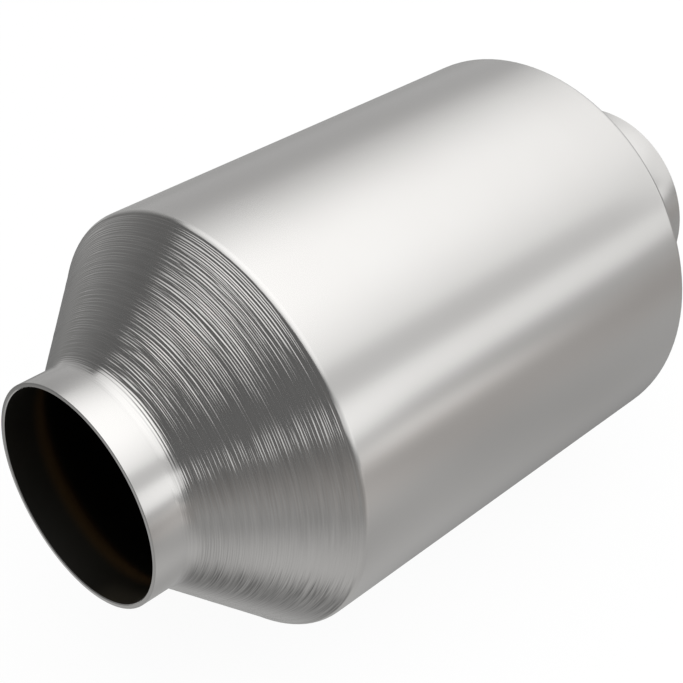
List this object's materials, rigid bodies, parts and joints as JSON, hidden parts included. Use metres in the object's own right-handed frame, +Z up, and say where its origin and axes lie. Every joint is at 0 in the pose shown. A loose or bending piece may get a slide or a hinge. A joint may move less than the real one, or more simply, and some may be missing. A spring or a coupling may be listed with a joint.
{
  "type": "catalytic converter",
  "caption": "Round spun-steel catalytic converter with a smooth barrel, grooved cone ends and short slip-fit necks for an exhaust pipe, holding honeycomb bricks.",
  "frame": {"origin": "centre of the inlet mouth, on the axis", "axes": "+X along the axis with the gas flow, from the inlet to the outlet; +Z up with the part lying level"},
  "size_m": [0.2286, 0.1278, 0.1279],
  "materials": {
    "casing_steel": "satin",
    "brick_ceramic": "matte",
    "mat_fibre": "matte",
    "seal_wire": "satin"
  },
  "bodies": {
    "root": {"casing": "casing_steel", "inlet_brick": "brick_ceramic", "inlet_mat": "mat_fibre", "inlet_mat_front_seal": "seal_wire", "inlet_mat_rear_seal": "seal_wire", "outlet_brick": "brick_ceramic", "outlet_mat": "mat_fibre", "outlet_mat_front_seal": "seal_wire", "outlet_mat_rear_seal": "seal_wire"}
  },
  "joints": []
}
